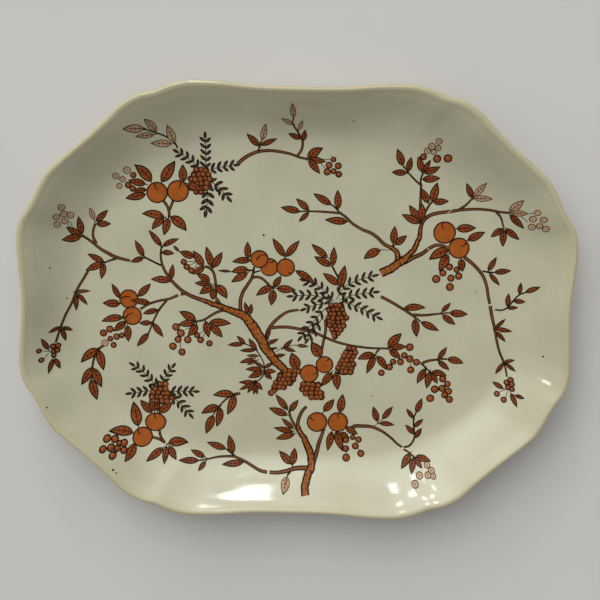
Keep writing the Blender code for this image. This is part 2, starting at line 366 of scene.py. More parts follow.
# A leaf's short stalk behind its foot, and the half widths from which it has a midrib and side veins.
PETIOLE_REACH = 1.4
MIDRIB_FROM = 1.4
SIDE_VEINS_FROM = 1.9
LEAF_BOW = 1.6
# How a leaf swells from its foot and narrows to its tip, and the points along it.
FOOT_SWELL = 0.75
TIP_SWELL = 1.05
LEAFLET_TIP_SWELL = 0.85
BLADE_POINTS = 15
# The shares of a leaf's length that its fill, redder middle and a leaflet's fill take up.
FILL_SPAN = (0.06, 0.88)
MIDDLE_SPAN = (0.1, 0.78)
LEAFLET_FILL_SPAN = (0.15, 0.8)
MIDDLE_WIDTH = 0.4
LEAFLET_FILL_WIDTH = 0.42
# Stems from these widths have a fill, and bark.
FILLED_FROM = 1.1
TRUNK_FROM = 3.2
FERN_STALK = 0.5
FERN_STEP = 0.5
LEAFLET_SPREAD = np.radians(47.0)


def along_curve(points, step=1.0):
    """Places about a step apart along a smooth curve through the points."""
    points = np.array(points, float)
    lengths = np.hypot(*np.diff(points, axis=0).T)
    along = np.concatenate([[0.0], np.cumsum(lengths)])
    count = max(2, int(along[-1] / step) + 1)
    places = np.linspace(0.0, along[-1], count)
    if len(points) == 2:
        return points[0] + (points[1] - points[0]) * (places / along[-1])[:, None]
    return np.column_stack([hermite(along, points[:, i], places) for i in range(2)])


def normals_of(path):
    """Unit vectors to the left of the path."""
    run = np.gradient(path, axis=0)
    run /= np.hypot(run[:, 0], run[:, 1])[:, None]
    return np.column_stack([-run[:, 1], run[:, 0]])


def runs_of(side):
    """Unit vectors along a path, from those to its left."""
    return np.column_stack([side[:, 1], -side[:, 0]])


def ribbon(path, width):
    """A band along the path, as wide as given at each point."""
    side = normals_of(path) * (np.broadcast_to(width, len(path)) / 2)[:, None]
    return np.vstack([path + side, (path - side)[::-1]])


def disc(x, y, radius, sides):
    angle = np.linspace(0.0, 2 * np.pi, sides, endpoint=False)
    return np.column_stack([x + radius * np.cos(angle), y + radius * np.sin(angle)])


def blade(spine, half_width, span=(0.0, 1.0), tip_swell=TIP_SWELL):
    """A pointed leaf shape on the spine between two shares of its length."""
    share = np.linspace(0.0, 1.0, len(spine))
    inner = np.linspace(*span, BLADE_POINTS)
    path = np.column_stack([np.interp(inner, share, spine[:, i]) for i in range(2)])
    t = np.linspace(0.0, 1.0, BLADE_POINTS)
    swell = t**FOOT_SWELL * (1 - t) ** tip_swell
    return ribbon(path, 2 * half_width * swell / swell.max())[:-1]


def leaf_spine(x0, y0, x1, y1, bulge):
    """A bowed line from the leaf's foot to its tip. A positive bulge is to its left."""
    base, tip = np.array([x0, y0]), np.array([x1, y1])
    side = np.array([y0 - y1, x1 - x0]) / np.hypot(x1 - x0, y1 - y0)
    bend = (base + tip) / 2 + side * bulge * LEAF_BOW
    t = np.linspace(0.0, 1.0, 21)[:, None]
    return base * (1 - t) ** 2 + bend * 2 * t * (1 - t) + tip * t**2


def leaf(
    x0, y0, x1, y1, half_width, bulge=0.0, line="ink", fill="leaf", centre="blush", edge=OUTLINE
):
    """An outlined leaf with a redder middle, a midrib and, if there is room, side veins."""
    spine = leaf_spine(x0, y0, x1, y1, bulge)
    start = spine[2] - spine[0]
    behind = spine[0] - start / np.linalg.norm(start) * PETIOLE_REACH
    shapes = [
        (ribbon(np.array([behind, spine[0], spine[2]]), PETIOLE), line),
        (blade(spine, half_width), line),
        (blade(spine, half_width - edge, FILL_SPAN), fill),
    ]
    if half_width < MIDRIB_FROM:
        return shapes
    shapes.append((blade(spine, half_width * MIDDLE_WIDTH, MIDDLE_SPAN), centre))
    shapes.append((ribbon(spine[1:17], np.linspace(VEIN * 1.2, VEIN * 0.7, 16)), line))
    if half_width < SIDE_VEINS_FROM:
        return shapes
    sides = normals_of(spine)
    run = runs_of(sides)
    for place in (3, 7, 11):
        reach = (half_width - edge) * (0.85 if place < 11 else 0.6)
        for side in (1, -1):
            foot = spine[place]
            end = foot + sides[place] * side * reach + run[place] * reach * 0.9
            vein = np.array([foot, (foot + end) / 2, end])
            shapes.append((ribbon(vein, [VEIN, VEIN * 0.8, VEIN * 0.5]), line))
    return shapes


def pale_leaf(x0, y0, x1, y1, half_width, bulge=0.0):
    """A leaf where the print is worn."""
    return leaf(x0, y0, x1, y1, half_width, bulge, "pale_ink", "pale", "pale_blush", THIN_OUTLINE)


def berry(x, y, radius, line="ink", fill="berry", spot="highlight", edge=OUTLINE):
    """An outlined berry with a small light spot."""
    return [
        (disc(x, y, radius, 18), line),
        (disc(x, y, radius - edge, 16), fill),
        (disc(x - radius * 0.22, y + radius * 0.25, radius * 0.22, 8), spot),
    ]


def pale_berry(x, y, radius):
    """A berry where the print is worn, with a dark dot."""
    dot = (disc(x, y, radius * 0.17, 6), "pale_ink")
    return berry(x, y, radius, "pale_ink", "pale", "pale_blush", THIN_OUTLINE) + [dot]


def bunch(radius, step, *rows):
    """Crowded berries in rows, each one a little out of place and size, over a dark ground."""
    places = [(x + step * i, y) for x, y, count in rows for i in range(count)]
    shapes = [(disc(x, y, radius * 1.25, 14), "bunch_ink") for x, y in places]
    for turn, (x, y) in enumerate(places):
        x = x + 0.4 * np.sin(turn * 2.1)
        y = y + 0.4 * np.sin(turn * 1.3 + 1.0)
        size = radius * (1.06 + 0.1 * np.sin(turn * 1.7))
        shapes += berry(x, y, size, "bunch_ink", "grape", "grape_light", THIN_OUTLINE)
    return shapes


def fruit(x, y, radius, cleft=(), flat=1.0):
    """A round fruit with a shaded side and the cleft at its stalk."""
    def squash(shape):
        return (shape - (x, y)) * (1.0, flat) + (x, y)

    shapes = [
        (squash(disc(x, y, radius, 44)), "ink"),
        (squash(disc(x, y, radius - OUTLINE, 40)), "fruit_shade"),
        (squash(disc(x - radius * 0.04, y - radius * 0.05, radius * 0.82, 40)), "fruit"),
    ]
    if cleft:
        path = along_curve(cleft, 0.6)
        shapes.append((ribbon(path, np.linspace(1.6, 0.6, len(path))), "fruit_shade"))
        shapes.append((ribbon(path, np.linspace(0.9, 0.45, len(path))), "ink"))
    return shapes


def stem(start_width, end_width, *points):
    """A tapering stem. Thick ones are outlined, and a trunk has a rough outline and torn bark."""
    path = along_curve(points, 1.2)
    width = np.linspace(start_width, end_width, len(path)) + INK_SPREAD
    widest = max(start_width, end_width)
    trunk = widest > TRUNK_FROM
    if trunk:
        turn = np.arange(len(path))
        fade = np.sin(np.pi * turn / (len(path) - 1))
        sway = fade * (0.2 * np.sin(turn * 1.9) + 0.25 * np.sin(turn * 0.8))
        path = path + normals_of(path) * sway[:, None]
    shapes = [(ribbon(path, width), "ink")]
    if widest < FILLED_FROM:
        return shapes
    edge = OUTLINE * np.clip(width / 3.0, 0.7, 1.3)
    shapes.append((ribbon(path, np.maximum(width - 2 * edge, 0.35)), "bark" if trunk else "stalk"))
    if trunk:
        shapes += bark_marks(path, width)
    return shapes


def bark_marks(path, width):
    """Dark tears from a trunk's edges, more of them on its right, and slits down its middle."""
    side = normals_of(path)
    run = runs_of(side)
    shapes = []
    for i in range(1, len(path) - 1):
        for edge_side, chosen in ((-1.0, i % 2 == 1), (1.0, i % 4 == 2)):
            if chosen:
                inward = -edge_side * side[i] * width[i]
                edge = path[i] - inward * 0.5
                deep = edge + inward * (0.24 + 0.1 * (i % 3)) + run[i] * 1.5
                tear = np.array([edge - run[i] * 0.9, edge + run[i] * 0.7, deep])
                shapes.append((tear, "ink"))
        if i % 3 == 2:
            foot = path[i] + side[i] * width[i] * 0.16 * ((i // 3) % 3 - 1)
            slit = np.array([foot, foot + run[i] * 0.9 + side[i] * 0.3, foot + run[i] * 2.0])
            shapes.append((ribbon(slit, [0.25, 0.65, 0.2]), "ink"))
    return shapes


def twig(x0, y0, x1, y1):
    """A single thin line."""
    return [(ribbon(along_curve([(x0, y0), (x1, y1)]), TWIG), "ink")]


def fern(length, half_width, step, *points):
    """A thin stalk with dark leaflets in pairs, and one at its tip."""
    path = along_curve(points, FERN_STEP)
    shapes = [(ribbon(path, FERN_STALK), "ink")]
    side = normals_of(path)
    run = runs_of(side)
    every = int(step / FERN_STEP)
    last = len(path) - 1
    feet = [(last, 0.0)]
    for i in range(last - every // 2, 0, -every):
        feet += [(i, LEAFLET_SPREAD), (i - 1, -LEAFLET_SPREAD)]
    for i, turn in feet:
        tip = path[i] + (run[i] * np.cos(turn) + side[i] * np.sin(turn)) * length
        spine = leaf_spine(*path[i], *tip, 0.0)
        shapes.append((blade(spine, half_width, tip_swell=LEAFLET_TIP_SWELL), "ink"))
        shapes.append((blade(spine, half_width * LEAFLET_FILL_WIDTH, LEAFLET_FILL_SPAN), "fern"))
    return shapes


def cut(x0, y0, x1, y1):
    """A hairline gap where two sheets of the transfer meet."""
    return [(ribbon(along_curve([(x0, y0), (x1, y1)]), CUT), None)]


# Each spray in painting order: a function, then what it draws.
# stem: width at its start, width at its end, places along it
# twig, cut: both ends
# leaf, pale_leaf: foot, tip, half width, bulge to its left
# berry, pale_berry: place, radius
# fruit: place, radius, places along its cleft, flatness
# bunch: berry radius, step along a row, then the first place and the count of each row
# fern: leaflet length, leaflet half width, step between pairs, places along its stalk
SPRAYS = {
    "upper_left": [
        (stem,
         (0.8, 0.6, (-78, 98), (-79.5, 101.5), (-84, 105), (-88, 107), (-91, 108), (-95, 109.5),
          (-99, 110.5)),
         (1.7, 1.5, (-87.6, 64.5), (-84.5, 60), (-83.5, 56), (-83.5, 53)),
         (1.6, 1.4, (-80.6, 65), (-82.5, 60), (-83.5, 57.5))),
        (pale_leaf, (-98, 111, -111, 110.5, 2.8), (-91, 108.5, -98, 117, 2.6, -1),
         (-92, 107, -104, 105.5, 2), (-81.5, 101, -95, 101.2, 2.6), (-80, 101.5, -84, 113.5, 2.8)),
        (pale_berry, (-110.3, 83.5, 2.5), (-117.5, 79.7, 2.2), (-113.4, 77.5, 2.1), (-115.5, 73, 2)),
        (berry, (-106.5, 80.3, 2.1), (-109.8, 73.8, 2.3), (-107, 71.5, 2.2)),
        (fern, (5.0, 1.05, 4.2, (-60.5, 84), (-60, 95), (-60.3, 104.5)),
         (5.0, 1.05, 4.2, (-63, 85), (-71, 91.5), (-77, 95)),
         (5.0, 1.05, 4, (-57, 85), (-51, 86.5), (-42.5, 87.8)),
         (5.6, 1.15, 4.4, (-58, 77), (-53, 75), (-46.5, 68)),
         (5.8, 1.3, 4.6, (-59, 75), (-58.5, 66), (-59.5, 59))),
        (leaf, (-95, 76, -105.8, 87.3, 3.6, -1.1), (-88.5, 76, -79.5, 90.2, 3.6),
         (-74.5, 76, -74.8, 88, 2.9), (-98.5, 68, -112, 65, 2.8), (-98.5, 74.5, -110, 77, 2.5),
         (-98, 71, -107, 70, 2), (-86.5, 53, -94.8, 44.8, 2.6, -1),
         (-86.5, 53, -101.5, 55.2, 2.9, -1.4), (-84, 53, -87, 41.2, 2.7),
         (-83, 53.5, -72.2, 44.3, 3.4, 1.6)),
        (bunch,
         (1.75, 3.1, (-66, 84.4, 3), (-67.6, 81.5, 4), (-69.6, 78.6, 5), (-68.6, 75.7, 4),
          (-69.2, 72.8, 4), (-66, 70.4, 2))),
        (leaf, (-72, 75.5, -61.5, 71.2, 2.6)),
        (fruit, (-91.3, 69.3, 7.0, ((-93, 75.8), (-92.6, 73), (-90.5, 71))),
         (-77.8, 70.5, 7.2, ((-76, 77.4), (-76.2, 74.5), (-77.5, 72)))),
    ],
    "top_branch": [
        (stem,
         (2.3, 1.2, (-39.5, 89), (-34, 93.5), (-28, 96.5), (-20, 97.8), (-12, 97.2), (-4, 95.5),
          (0, 94), (5, 93)),
         (0.8, 0.7, (-26.5, 97), (-25.5, 100.5), (-24.5, 104)),
         (1.6, 0.6, (-1, 95), (1.5, 99), (2, 104), (-1, 110), (-4.5, 116), (-4, 120))),
        (twig, (6, 93, 20, 93), (13, 91.5, 17, 87)),
        (leaf, (-25.5, 100.5, -34, 108.5, 2.2), (-25, 101, -14, 105.8, 1.8),
         (5.5, 93, 15.5, 100.3, 3, 1.1), (6, 93, 17.5, 91.5, 2.2), (6, 93, 13.8, 83.5, 2.4),
         (1, 105.8, -7.5, 109.2, 1.9), (2.5, 104.5, 3.5, 112, 1.8)),
        (pale_leaf, (-24, 104, -21.5, 115.5, 2.1), (-4, 119.5, -5, 129, 2),
         (-4.2, 115.2, -12, 118.8, 1.6), (-1, 111, 2, 118, 1.5)),
        (berry, (22, 93, 1.9), (19.3, 89.3, 2.3), (25.2, 89, 2.3), (18.2, 85, 2.4), (22.3, 85.5, 2),
         (25.7, 83.6, 2.2)),
    ],
    "left_twig": [
        (stem, (1.3, 2.2, (-140, 40.5), (-135, 37), (-128, 31.5), (-120, 27)),
         (2.2, 1.4, (-120, 27), (-115, 25.5), (-109, 24.3)),
         (1.8, 1.2, (-131, 35), (-133, 40), (-132.5, 45), (-131.5, 48)),
         (1.4, 0.8, (-118, 25.5), (-121, 24.5), (-126, 22.5)),
         (1.5, 1.1, (-136.5, 17), (-140, 11), (-144, 4), (-147, -4), (-151, -12), (-154, -20),
          (-157, -30))),
        (twig, (-147, 50, -145.5, 46), (-148.5, 48, -146.5, 46), (-164.5, -34, -161, -35),
         (-163, -39, -161, -36)),
        (pale_berry, (-151, 59.8, 2.2), (-150, 55.3, 2.3), (-154.3, 53.5, 2.2), (-146.2, 54.3, 2.3),
         (-149.8, 50.5, 2.2), (-154.3, 48.5, 2.2)),
        (pale_leaf, (-132, 50.5, -134.5, 59, 1.8)),
        (leaf, (-140, 41, -141.7, 53.5, 2.3), (-140.5, 40, -149.5, 46.5, 2.4),
         (-140.5, 39.5, -152.5, 37.8, 2.7), (-131, 49.5, -123, 57.5, 2.2), (-131, 48, -121, 48.3, 2.2),
         (-126, 23, -137, 28.3, 2.2), (-126.5, 22.5, -138.5, 17, 2.5), (-126, 22, -128, 11.5, 2.2),
         (-145, 3, -135, 3.5, 1.3), (-144, 2, -137, -6.2, 1.6), (-144.5, 1, -144.5, -10, 1.7),
         (-154, -19.5, -161.3, -22.8, 1.4), (-153, -20, -146.5, -22.8, 1.4),
         (-153.5, -20.5, -150.8, -29.8, 1.6), (-161, -34, -165, -25.5, 1.6),
         (-158.5, -40, -161, -49.8, 1.6), (-157.5, -40, -154, -47.5, 1.6)),
        (berry, (-158.5, -32, 2), (-155.5, -32, 1.9), (-158, -35.5, 2), (-156, -35, 1.9),
         (-158, -38, 1.7), (-166.3, -33.7, 1.7), (-165, -40, 1.8)),
    ],
    "centre_left": [
        (stem, (0.9, 1.8, (-88.5, 34), (-89, 30), (-88.7, 25), (-87.5, 20.5), (-84, 14)),
         (1.8, 2.6, (-84, 14), (-80, 9.5), (-75, 5), (-70, 2), (-62, -1)),
         (1.5, 1.4, (-76, 2.5), (-72, 3)),
         (1.0, 0.9, (-88.7, 21.5), (-94, 24), (-100, 27)),
         (1.5, 1.6, (-53, 0), (-53, 10), (-53.5, 14), (-55, 18.5), (-57, 20.5), (-60, 21.5)),
         (2.6, 2.0, (-52.5, 0), (-50, -4)),
         (1.8, 1.0, (-48, -7.5), (-52, -9), (-57, -12), (-61, -14.5), (-66, -15.5)),
         (2.8, 4.6, (-62, -1), (-56, -3), (-50, -5), (-44, -7.3))),
        (twig, (-72, 24.5, -66, 24.5), (-70, 22, -66, 24), (-67, 20, -65, 23), (-73, -21, -70, -20),
         (-76, -30, -76.2, -34), (-63, -23.5, -60.5, -21.5), (-61, -26, -60, -23),
         (-59.5, -15, -57, -17)),
        (leaf, (-100, 27, -105.8, 38, 2.2), (-100, 26.5, -109, 23.3, 1.9), (-88.3, 34, -97, 45, 2),
         (-88, 34, -76.7, 39.5, 1.9, 0.7), (-88.5, 29.8, -80, 29.3, 1.9, 0.7),
         (-82.5, 12, -81, 22.8, 2), (-82.5, 11, -95.7, 12, 2.5, -1), (-77, 31, -81, 35, 1.1),
         (-67, 27.5, -77, 31, 2.6), (-61, 21.5, -68, 32, 2.7), (-60.5, 21, -68.5, 16, 2.3),
         (-55.5, 21, -59.5, 35, 2.6), (-55, 20.5, -48.7, 31.5, 2.6), (-57, 11, -65.5, 15.8, 2.6, -1),
         (-57, 10, -67, 10.3, 2), (-55, 9, -63.8, 3, 2.8), (-54.5, 7, -55, -1, 2.4),
         (-53, 9, -45.5, 0, 3, 1.2), (-66, -16, -77, -9, 3, -1), (-66, -16, -78, -18, 2.5),
         (-65.5, -17, -71.5, -25.5, 2.8, 1.1), (-57.5, -16.8, -42.5, -16.7, 2.8, 1.2),
         (-56, -17.5, -48, -26, 2.7), (-59.5, -15, -57.3, -26.5, 2.6)),
        (berry, (-74, 24.2, 2.1), (-72, 21, 2.2), (-69, 18.6, 2.2), (-79, -19.5, 2.6),
         (-75.8, -23.6, 2.7), (-77.6, -28, 2.4), (-81, -32.7, 2.6), (-71.2, -28, 2.6),
         (-75, -36.5, 2.5), (-65, -24.8, 2.1), (-62.7, -28, 2.3), (-56.8, -30.2, 2.2)),
    ],
    "left_fruit": [
        (stem, (1.3, 1.5, (-102.5, -8), (-97, -4.5), (-90, -2), (-83, -0.5), (-77.5, 2)),
         (1.4, 0.8, (-85, -1.5), (-90, -8), (-94, -16), (-97, -24)),
         (1.5, 1.1, (-125, -32), (-130, -35.5), (-133, -41), (-134.5, -48), (-134.5, -56))),
        (pale_berry, (-126, -31.5, 2.4)),
        (berry, (-127, -24.7, 2.5), (-122.7, -22, 2.5), (-118.3, -27, 2.3), (-114.8, -26, 2),
         (-122.5, -28.5, 2), (-120.3, -32.7, 2.1)),
        (leaf, (-104, 0.5, -95.3, 9.5, 2.4), (-116, -1, -121.3, 9, 2), (-91, -8, -101, -11, 2),
         (-95, -17, -103.5, -17.5, 1.9), (-94.5, -17, -87.3, -26.8, 2.1), (-97, -24, -105, -33.5, 2.2),
         (-130.5, -35.5, -142, -45, 3, -1.1), (-130.5, -36, -127, -50.5, 3),
         (-134.5, -48, -141.3, -59.5, 2.8), (-134, -48.5, -128.3, -62, 3),
         (-135.5, -56, -131, -70, 2.9)),
        (fruit, (-110, -1.2, 6.4, ((-115.6, -1), (-112.5, 0.2), (-109, 0)))),
        (fruit, (-107.8, -12.5, 6.4, ((-112.6, -14.6), (-110.5, -12), (-107, -10.5)))),
        (leaf, (-96, -3.5, -109, -2, 2.2), (-115.5, -4.5, -127.5, -4.5, 2.8),
         (-113.5, -14, -128.5, -17, 2.6, -1.1), (-112, -16.5, -120.5, -23.5, 2.6),
         (-111, -19, -110.5, -30.5, 2.6)),
    ],
    "centre_tree": [
        (stem, (2.6, 1.2, (-19, -27), (-18.5, -22), (-16, -17), (-11, -11.5), (-5, -7.5), (2, -6.2)),
         (1.9, 1.7, (-17, -19), (-12, -18.2), (-5, -18), (2, -19), (8.5, -20.2)),
         (2.4, 1.8, (-36.5, -8), (-36.5, 0), (-35, 5), (-32, 10), (-29.5, 14)),
         (1.8, 1.1, (-29.5, 14), (-28.5, 18), (-28, 22)),
         (1.6, 1.3, (-29.5, 14.5), (-26, 15.3), (-23, 14.5), (-19, 11), (-17, 9)),
         (0.9, 0.7, (-28.5, 18), (-24, 19.5)),
         (0.9, 0.7, (-28, 19.5), (-33, 19.5)),
         (4.6, 7.0, (-44, -7.3), (-41, -8.4), (-36, -10), (-31, -14.3), (-27, -20)),
         (7.0, 6.2, (-29, -17), (-27, -20), (-22.5, -27), (-19.5, -32.7), (-17, -36))),
        (leaf, (-32, 27, -32.5, 38.8, 2.4), (-30, 26, -42.5, 24.8, 2.3, -0.8),
         (-43, 18.5, -52, 19, 1.0), (-31.5, 20, -43, 18, 2.6, -0.8), (-32, 18, -43, 11.3, 2.6),
         (-8, 29, -16.3, 41.3, 2.5), (-7.5, 29, 1.5, 40.2, 2.5), (-15, 9, -26.5, 2.5, 2.6, -1),
         (-15, 7, -16.3, -3.8, 2.8), (-13, 8, 0, 7, 2.7), (-15, 8.5, -10, 16.5, 2.3),
         (-1, 20, 12.5, 10.5, 2.4, 1.2), (-31.5, -9.5, -34, -1.5, 1.6), (-30, -10, -29.5, -2.5, 1.6),
         (-19, -26, -16.5, -18.5, 1.4), (-19, -30, -10.8, -26, 1.5), (-17, -33.5, -11.3, -32, 0.9)),
        (fruit, (-18, 22, 6.1, ((-14.8, 26.6), (-16.8, 25), (-18.4, 25.6))),
         (-24.5, 27.2, 6.0, ((-26.4, 26.4), (-25, 28.6), (-22, 30), (-19.6, 29.6))),
         (-7.3, 22, 6.1, ((-2.6, 18.6), (-4.6, 18.2), (-6, 19.4)))),
    ],
    "fern_grapes": [
        (stem, (1.0, 0.9, (23, 23.5), (25, 20), (27.5, 15), (28.5, 8))),
        (fern, (5.2, 1.0, 4.6, (25, 0), (20, 5.5), (12, 11.5), (6.5, 13.2)),
         (5.2, 1.0, 4.6, (24, 0), (10, 3.8), (-1.5, 3)),
         (5.0, 1.0, 4.6, (21, -1.2), (12, -3), (7, -5)),
         (5.2, 1.0, 4.6, (20, -4), (14, -11), (7, -20), (4.5, -23.5)),
         (5.2, 1.0, 4.6, (17, -12), (11, -22), (9, -25)),
         (5.4, 1.0, 4.6, (26, 1), (32, 10), (43, 15.5), (49, 17.2)),
         (5.2, 1.0, 4.6, (28, 1), (37, 4.5), (50, 6.5)),
         (5.2, 1.0, 4.6, (29, 0), (40, -3), (53, -9.5))),
        (leaf, (23.5, 23.5, 24, 36.5, 2.4), (20, 29, 9, 38, 2.4), (22.5, 23.5, 11, 29.8, 2.6),
         (28, 11, 17, 19, 2.6), (28.5, 9, 31.5, 24.5, 3)),
        (bunch,
         (1.6, 3.0, (23, -2.5, 3), (21.5, -5.5, 4), (22.5, -8.2, 4), (21.5, -10.9, 5), (22, -13.6, 4),
          (22.8, -16.3, 4), (24, -19, 3), (25.2, -21.4, 2), (26.2, -23.8, 1))),
    ],
    "twig_leaves": [
        (stem, (0.5, 0.5, (-20.5, -43), (-23, -38), (-27, -33), (-33, -30)),
         (0.7, 0.6, (-20.5, -43), (-20.5, -50), (-23, -54), (-26, -56)),
         (1.3, 0.7, (-36, -64), (-40, -65), (-45, -68), (-50, -73.5), (-54, -79))),
        (leaf, (-33, -30, -39, -24.5, 1.5), (-34, -30, -45, -31, 1.7), (-25.5, -34.5, -31, -26, 1.9),
         (-26, -34, -37, -34.7, 1.5), (-24, -38, -32.5, -38, 1.2), (-27, -40, -37, -43, 1.7),
         (-25, -41, -32, -44.5, 1.2), (-20.5, -46, -28, -41.5, 1.3), (-20, -46, -14, -42, 1.4),
         (-20, -48, -12, -48.5, 1.8), (-20, -49, -15, -54, 1.9), (-21, -48, -33, -47.5, 2, -0.8),
         (-21, -49, -31, -53, 2.3), (-26, -56, -37.5, -56.5, 1.6), (-26, -56, -37, -62, 1.6),
         (-26, -56, -31.5, -64, 1.6), (-26, -56, -27, -65, 1.6), (-26, -56, -24.5, -65, 1.4),
         (-26, -56, -21, -61.5, 1.7), (-40, -65, -36, -64, 1.2), (-40, -65, -44.8, -79.3, 2.9, 1),
         (-40, -65, -54.5, -66, 2.7, -1.2), (-49.5, -74, -51.8, -88, 2.7, 1),
         (-50, -73.5, -62, -79, 2.8, -1.1), (-54, -79.5, -58.8, -93, 3)),
    ],
    "centre_fruit": [
        (stem, (6.2, 5.0, (-17, -36), (-14.5, -39.3), (-10, -44), (-5, -49)),
         (1.8, 1.4, (19.5, -12), (20, -18), (18.5, -28), (17.5, -34))),
        (twig, (-13, -35, -8, -32), (-8, -32, 0, -30), (0, -30, 3, -30.3)),
        (leaf, (-13, -38, -6, -36.7, 1.4), (-8, -32.5, -1.5, -26, 1.5), (-8, -32, 0.8, -34.5, 1.5),
         (1, -30.2, 9, -30.8, 1.3), (17.5, -38, 10.5, -27.5, 3.8), (2, -47, -2.5, -35, 3.8),
         (28, -48, 39, -48, 1.6, -0.6), (27.5, -48, 29, -60.5, 3), (25, -48, 18, -58, 2.8)),
        (bunch,
         (1.8, 3.1, (-3.2, -48, 3), (-9.5, -50.8, 4), (-10.2, -53.6, 4), (-12.2, -56.2, 4),
          (-13.2, -59, 3), (-13.4, -61.4, 1), (-15.4, -63.2, 1)),
         (1.8, 2.9, (35.8, -31.6, 2), (34, -34.3, 3), (32.8, -37, 3), (31.6, -39.8, 3),
          (30.2, -42.5, 4), (29, -45.3, 4), (31.4, -47.8, 3)),
         (1.9, 3.3, (6, -57, 4), (5.4, -60, 4), (8, -62.8, 4), (11.6, -65.4, 3))),
        (fruit, (19.8, -43, 5.9, ((22.6, -38.2), (22, -40), (20.4, -40.4))),
         (9.8, -49.3, 6.3, ((15, -46), (14.4, -48.8), (12, -50)))),
    ],
    "berry_twig": [
        (stem, (1.7, 1.3, (9.5, -20.4), (13, -21.4), (20, -24.5), (28, -27.5), (38, -29.8)),
         (1.3, 1.1, (38, -29.8), (50, -31), (62, -31)),
         (1.2, 1.0, (56, -31.2), (53.5, -34.5)),
         (1.8, 0.9, (83.5, -41.2), (88, -39), (93, -38), (98, -37.3), (101, -37.3)),
         (0.9, 0.8, (85, -41.5), (89, -45.5), (91, -47))),
        (twig, (77, -40.5, 77.2, -43)),
        (leaf, (53, -35.5, 41.5, -39, 2.7, -1), (53, -36, 47.8, -48.8, 2.5),
         (54, -36.5, 61, -46, 2.6, 1), (62, -31, 70.5, -20.5, 3.3, 1), (63, -30, 74, -29.5, 2.4),
         (62.5, -31.5, 70.5, -38, 2.5), (95, -37.5, 100.7, -29, 1.9),
         (101, -37.5, 112.2, -40.2, 2.5, 0.9), (95, -38.5, 103, -45, 2), (87, -44, 81.5, -54.8, 2.5),
         (90, -46, 88.2, -58, 2.6), (91, -47, 95.5, -54.5, 2), (91, -46.5, 101.5, -49, 2.3, 0.8)),
        (berry, (75.9, -29.8, 2.7), (72.5, -35.5, 2.3), (76.3, -37.8, 2.6), (80.8, -40, 2.4),
         (70.2, -40, 2.4), (65.3, -40, 2.2), (63, -43.7, 2.4), (57.8, -47.8, 2.3), (77.2, -45.3, 2.5),
         (98.7, -51, 2.5), (102, -54.5, 2.3), (93.7, -58.2, 2.7), (98.5, -57.5, 2.5),
         (102.8, -59.5, 2.6), (100.5, -62, 2.4), (103.8, -65, 2.5), (91, -64.5, 2.7)),
    ],
    "right_twig": [
        (stem, (1.9, 1.5, (55.5, 4), (60, 1.8), (66, -1.5), (72, -5), (78, -9)),
         (0.9, 0.7, (78, -9), (82, -12)),
         (1.8, 0.7, (77, -7.8), (84, -8), (90, -7.3), (96, -6.5), (101, -6))),
        (leaf, (71, -3.8, 85.5, -3, 2.5, 1), (96, -5.5, 101.8, 1, 1.7), (101, -6, 113.5, -6.7, 2.6),
         (96.5, -7.5, 105.5, -14, 2.3), (82.5, -12.5, 95, -18.3, 2.4), (78.5, -10.5, 80.2, -23, 2.7)),
    ],
    "right_branch": [
        (stem, (2.3, 1.8, (62.5, 36), (57, 38.5), (52, 43), (48.5, 45.5), (42, 48)),
         (1.8, 1.3, (42, 48), (36, 51.5), (31, 56), (26, 59.5)),
         (1.4, 0.7, (27, 58.5), (22, 58.8), (14, 59.2), (6.5, 59.2), (1, 59)),
         (1.0, 0.8, (26, 60), (24, 62), (21.5, 64)),
         (1.3, 1.1, (62.5, 37), (62.5, 39)),
         (3.0, 1.6, (70, 27), (76, 30.5), (82, 33.5), (85, 36), (91, 39), (95, 38.5), (98, 37.5)),
         (2.2, 1.6, (109, 31.5), (113, 28.5), (118, 24), (122, 19), (124.5, 13), (126, 6),
          (127.3, 0.5)),
         (1.6, 0.9, (82, 60), (84, 63.5), (86, 67)),
         (0.9, 0.9, (79.5, 77), (78.5, 80), (79, 83), (80, 85.5)),
         (1.8, 1.2, (79.5, 54), (79, 65), (79, 77.5)),
         (1.2, 0.7, (79, 77.5), (75, 81), (70.5, 85.5), (67, 90)),
         (1.5, 1.0, (104.5, 62.5), (109, 66), (112, 69.5)),
         (1.3, 0.9, (128, 61.7), (131, 58.5), (133.3, 52)),
         (0.9, 0.9, (121.5, 22.5), (125, 21.8), (129, 21.6)),
         (2.4, 1.8, (79.8, 50), (81, 54), (85, 58), (91, 60), (98, 61), (105, 62.3)),
         (1.8, 1.2, (105, 62.3), (115, 63), (125, 62.5), (130, 61.7), (136, 61.5)),
         (3.8, 2.6, (71, 30), (76, 36), (79, 43), (79.8, 50)),
         (4.0, 2.6, (66, 27), (65.5, 32), (63, 35.5), (60.5, 37)),
         (5.8, 5.0, (55, 19.5), (60, 22), (66, 26), (71, 30))),
        (twig, (54.5, 35, 61, 35), (147.5, 62, 150.5, 63), (143, 60, 147.5, 56.5)),
        (cut, (96.6, 59.5, 99.6, 62.5), (84, 37.6, 86.8, 35), (60.8, 49.6, 65.2, 46.4)),
        (leaf, (26, 61, 25.3, 73.8, 2.5), (21.5, 63.8, 9.5, 71, 2.5), (7, 60, -1.5, 67.5, 2.3),
         (1.5, 59, -11.5, 61.5, 2.4), (7, 58.5, 0.5, 52, 1.7), (32.5, 53, 17.3, 54, 2.6),
         (54.5, 34.8, 43.5, 28.5, 3, -1.1), (62.5, 39, 63, 51, 2.6), (63.5, 38.5, 71.3, 45, 2.4),
         (103, 50, 116, 50.8, 2.9), (110.5, 42.5, 122, 48.3, 2.7), (99, 36, 86, 29, 3.4, -1.3),
         (98.5, 33, 93, 21.5, 3.2), (107, 30.5, 108.3, 21.5, 2.6), (79.5, 54, 71.5, 65, 2.6),
